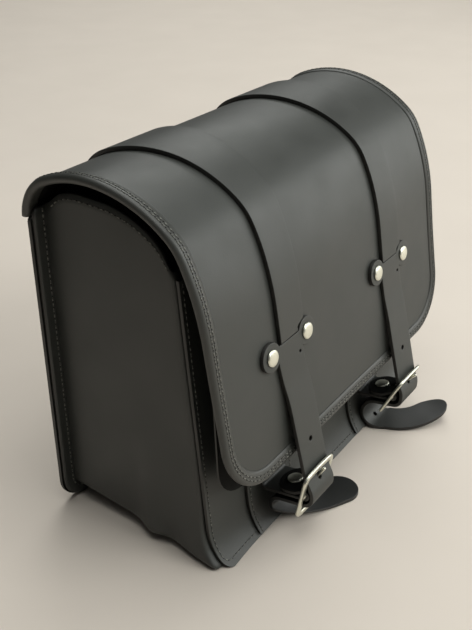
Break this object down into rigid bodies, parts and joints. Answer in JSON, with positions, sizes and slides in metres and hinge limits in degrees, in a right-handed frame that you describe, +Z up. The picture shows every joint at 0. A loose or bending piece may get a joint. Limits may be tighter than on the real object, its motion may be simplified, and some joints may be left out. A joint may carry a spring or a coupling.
{
  "type": "motorcycle bag",
  "caption": "Black leather motorcycle side bag with a rounded flap held by T-headed straps in nickel buckles, standing on the floor.",
  "frame": {"origin": "middle of the bag's box on the floor that it stands on", "axes": "+X along the bag's length, -Y out of the front with the straps, +Z up"},
  "size_m": [0.3228, 0.2102, 0.2818],
  "materials": {
    "black_leather": "satin black grain",
    "flesh_leather": "matt black flesh side",
    "nickel": "polished nickel"
  },
  "bodies": {
    "root": {"back_panel": "black_leather", "gusset": "black_leather", "front_panel": "black_leather", "flap": "black_leather", "flap_binding": "black_leather", "top_band_left": "black_leather", "strap_left": "black_leather", "front_band_left": "black_leather", "chape_left": "black_leather", "top_band_right": "black_leather", "strap_right": "black_leather", "front_band_right": "black_leather", "chape_right": "black_leather", "inner_flap": "flesh_leather", "buckle_left": "nickel", "prong_left": "nickel", "buckle_right": "nickel", "prong_right": "nickel", "strap_rivet_left_1": "nickel", "strap_rivet_left_2": "nickel", "chape_rivet_left": "nickel", "strap_rivet_right_1": "nickel", "strap_rivet_right_2": "nickel", "chape_rivet_right": "nickel"}
  },
  "joints": []
}
